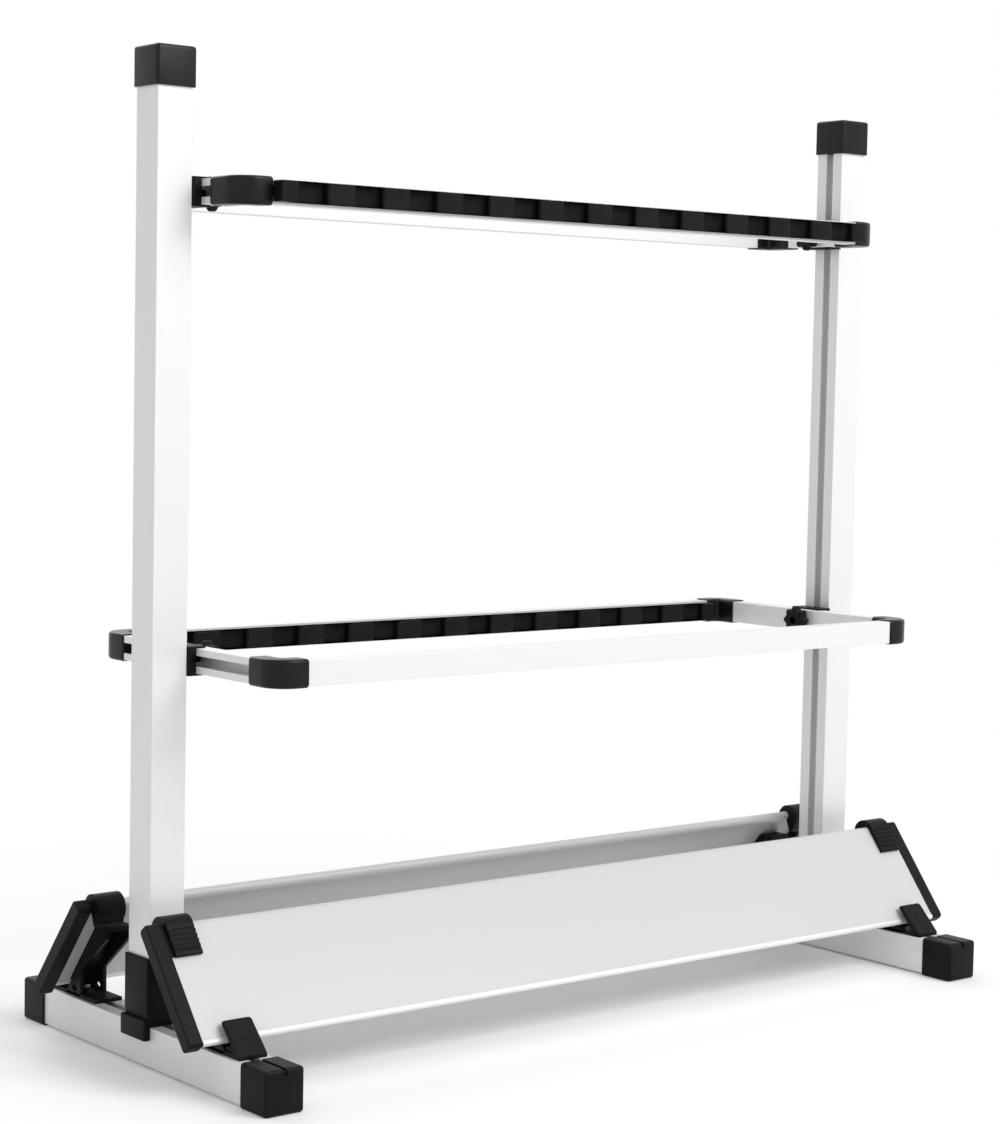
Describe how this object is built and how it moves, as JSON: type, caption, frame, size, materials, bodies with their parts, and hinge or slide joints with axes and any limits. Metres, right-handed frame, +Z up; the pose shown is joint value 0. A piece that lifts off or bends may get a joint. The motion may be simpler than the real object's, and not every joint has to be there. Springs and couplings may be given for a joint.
{
  "type": "fishing rod rack",
  "caption": "Free-standing rod rack with two sliding notched frames between slotted uprights and two sloping trays.",
  "frame": {"origin": "centre of the rack's footprint, on the floor", "axes": "+Z up, X along the rack, -Y to the front"},
  "size_m": [0.803, 0.348, 0.76],
  "materials": {
    "aluminium_satin": "satin anodised",
    "black_plastic": "fine texture, satin",
    "tray_finish": "satin",
    "zinc_steel": "zinc plated"
  },
  "bodies": {
    "base": {"foot_left": "aluminium_satin", "foot_right": "aluminium_satin", "foot_cap_front_left": "black_plastic", "foot_cap_front_right": "black_plastic", "foot_cap_rear_left": "black_plastic", "foot_cap_rear_right": "black_plastic", "upright_left": "aluminium_satin", "upright_right": "aluminium_satin", "upright_cap_left": "black_plastic", "upright_cap_right": "black_plastic", "socket_left": "black_plastic", "socket_right": "black_plastic", "bracket_front_left": "black_plastic", "bracket_front_right": "black_plastic", "bracket_rear_left": "black_plastic", "bracket_rear_right": "black_plastic", "bracket_screws": "zinc_steel", "tray_front": "tray_finish", "tray_rear": "tray_finish", "tray_cap_front_left": "black_plastic", "tray_cap_front_right": "black_plastic", "tray_cap_rear_left": "black_plastic", "tray_cap_rear_right": "black_plastic"},
    "mid_frame": {"mid_bar_front": "aluminium_satin", "mid_bar_rear": "aluminium_satin", "mid_bar_left": "aluminium_satin", "mid_bar_right": "aluminium_satin", "mid_corner_front_left": "black_plastic", "mid_corner_front_right": "black_plastic", "mid_corner_rear_left": "black_plastic", "mid_corner_rear_right": "black_plastic", "mid_strip_front": "black_plastic", "mid_strip_rear": "black_plastic", "mid_clamp_left": "black_plastic", "mid_clamp_right": "black_plastic", "mid_nut_left": "zinc_steel", "mid_nut_right": "zinc_steel"},
    "mid_knob_left": {"mid_knob_left": "black_plastic"},
    "mid_knob_right": {"mid_knob_right": "black_plastic"},
    "top_frame": {"top_bar_front": "aluminium_satin", "top_bar_rear": "aluminium_satin", "top_bar_left": "aluminium_satin", "top_bar_right": "aluminium_satin", "top_corner_front_left": "black_plastic", "top_corner_front_right": "black_plastic", "top_corner_rear_left": "black_plastic", "top_corner_rear_right": "black_plastic", "top_strip_front": "black_plastic", "top_strip_rear": "black_plastic", "top_clamp_left": "black_plastic", "top_clamp_right": "black_plastic", "top_nut_left": "zinc_steel", "top_nut_right": "zinc_steel"},
    "top_knob_left": {"top_knob_left": "black_plastic"},
    "top_knob_right": {"top_knob_right": "black_plastic"},
    "latch_front_left": {"latch_front_left": "black_plastic"},
    "latch_front_right": {"latch_front_right": "black_plastic"},
    "latch_rear_left": {"latch_rear_left": "black_plastic"},
    "latch_rear_right": {"latch_rear_right": "black_plastic"}
  },
  "joints": [
    {"name": "mid_frame_slide", "type": "slide", "parent": "base", "child": "mid_frame", "axis": [0, 0, 1], "range_m": [-0.12, 0.15]},
    {"name": "top_frame_slide", "type": "slide", "parent": "base", "child": "top_frame", "axis": [0, 0, 1], "range_m": [-0.15, 0.06]},
    {"name": "mid_knob_left_turn", "type": "hinge", "parent": "mid_frame", "child": "mid_knob_left", "pos_m": [-0.31845, 0, 0.3055], "axis": [-1, 0, 0], "continuous": true},
    {"name": "mid_knob_right_turn", "type": "hinge", "parent": "mid_frame", "child": "mid_knob_right", "pos_m": [0.31845, 0, 0.3055], "axis": [1, 0, 0], "continuous": true},
    {"name": "top_knob_left_turn", "type": "hinge", "parent": "top_frame", "child": "top_knob_left", "pos_m": [-0.31845, 0, 0.6545], "axis": [-1, 0, 0], "continuous": true},
    {"name": "top_knob_right_turn", "type": "hinge", "parent": "top_frame", "child": "top_knob_right", "pos_m": [0.31845, 0, 0.6545], "axis": [1, 0, 0], "continuous": true},
    {"name": "latch_front_left_turn", "type": "hinge", "parent": "base", "child": "latch_front_left", "pos_m": [-0.3757, -0.0515, 0.113], "axis": [-1, 0, 0], "range_deg": [0, 50]},
    {"name": "latch_front_right_turn", "type": "hinge", "parent": "base", "child": "latch_front_right", "pos_m": [0.3757, -0.0515, 0.113], "axis": [-1, 0, 0], "range_deg": [0, 50]},
    {"name": "latch_rear_left_turn", "type": "hinge", "parent": "base", "child": "latch_rear_left", "pos_m": [-0.3757, 0.0515, 0.113], "axis": [1, 0, 0], "range_deg": [0, 50]},
    {"name": "latch_rear_right_turn", "type": "hinge", "parent": "base", "child": "latch_rear_right", "pos_m": [0.3757, 0.0515, 0.113], "axis": [1, 0, 0], "range_deg": [0, 50]}
  ]
}
